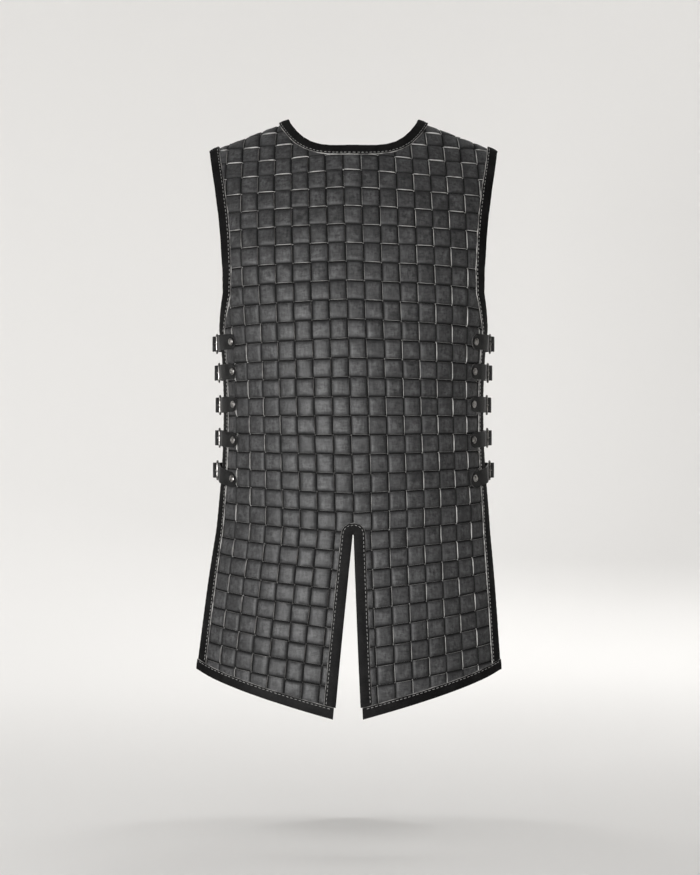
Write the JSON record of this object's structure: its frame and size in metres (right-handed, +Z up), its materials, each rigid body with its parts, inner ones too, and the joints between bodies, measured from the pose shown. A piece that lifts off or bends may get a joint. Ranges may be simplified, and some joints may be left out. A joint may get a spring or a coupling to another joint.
{
  "type": "woven leather body armour",
  "caption": "Sleeveless body armour woven from black leather strips, with bound edges, a centre slit in the skirt, and straps with buckles closing both open sides.",
  "frame": {"origin": "between the shoulders, at the middle of the neck opening, where the two shoulder seams meet the neck's level", "axes": "+Z up, +Y towards the hidden side, so the shown side faces -Y; +X is the picture's right"},
  "size_m": [0.4419, 0.2961, 0.8527],
  "materials": {
    "woven_leather": "semi-matt black leather with a fine grain",
    "binding_leather": "soft near-black leather, folded and sewn",
    "strap_leather": "satin black strap leather with greyer cut edges",
    "metal": "polished nickel-plated steel, a little worn"
  },
  "bodies": {
    "root": {"front_panel": "woven_leather", "back_panel": "woven_leather", "neck_binding_front": "binding_leather", "neck_binding_back": "binding_leather", "side_binding_front_left": "binding_leather", "side_binding_front_right": "binding_leather", "side_binding_back_left": "binding_leather", "side_binding_back_right": "binding_leather", "slit_binding_front": "binding_leather", "slit_binding_back": "binding_leather", "hem_binding_front_left": "binding_leather", "hem_binding_front_right": "binding_leather", "hem_binding_back_left": "binding_leather", "hem_binding_back_right": "binding_leather", "strap_left_1": "strap_leather", "buckle_strap_left_1": "strap_leather", "buckle_left_1": "metal", "rivet_left_1": "metal", "strap_left_2": "strap_leather", "buckle_strap_left_2": "strap_leather", "buckle_left_2": "metal", "rivet_left_2": "metal", "strap_left_3": "strap_leather", "buckle_strap_left_3": "strap_leather", "buckle_left_3": "metal", "rivet_left_3": "metal", "strap_left_4": "strap_leather", "buckle_strap_left_4": "strap_leather", "buckle_left_4": "metal", "rivet_left_4": "metal", "strap_left_5": "strap_leather", "buckle_strap_left_5": "strap_leather", "buckle_left_5": "metal", "rivet_left_5": "metal", "strap_right_1": "strap_leather", "buckle_strap_right_1": "strap_leather", "buckle_right_1": "metal", "rivet_right_1": "metal", "strap_right_2": "strap_leather", "buckle_strap_right_2": "strap_leather", "buckle_right_2": "metal", "rivet_right_2": "metal", "strap_right_3": "strap_leather", "buckle_strap_right_3": "strap_leather", "buckle_right_3": "metal", "rivet_right_3": "metal", "strap_right_4": "strap_leather", "buckle_strap_right_4": "strap_leather", "buckle_right_4": "metal", "rivet_right_4": "metal", "strap_right_5": "strap_leather", "buckle_strap_right_5": "strap_leather", "buckle_right_5": "metal", "rivet_right_5": "metal"}
  },
  "joints": []
}
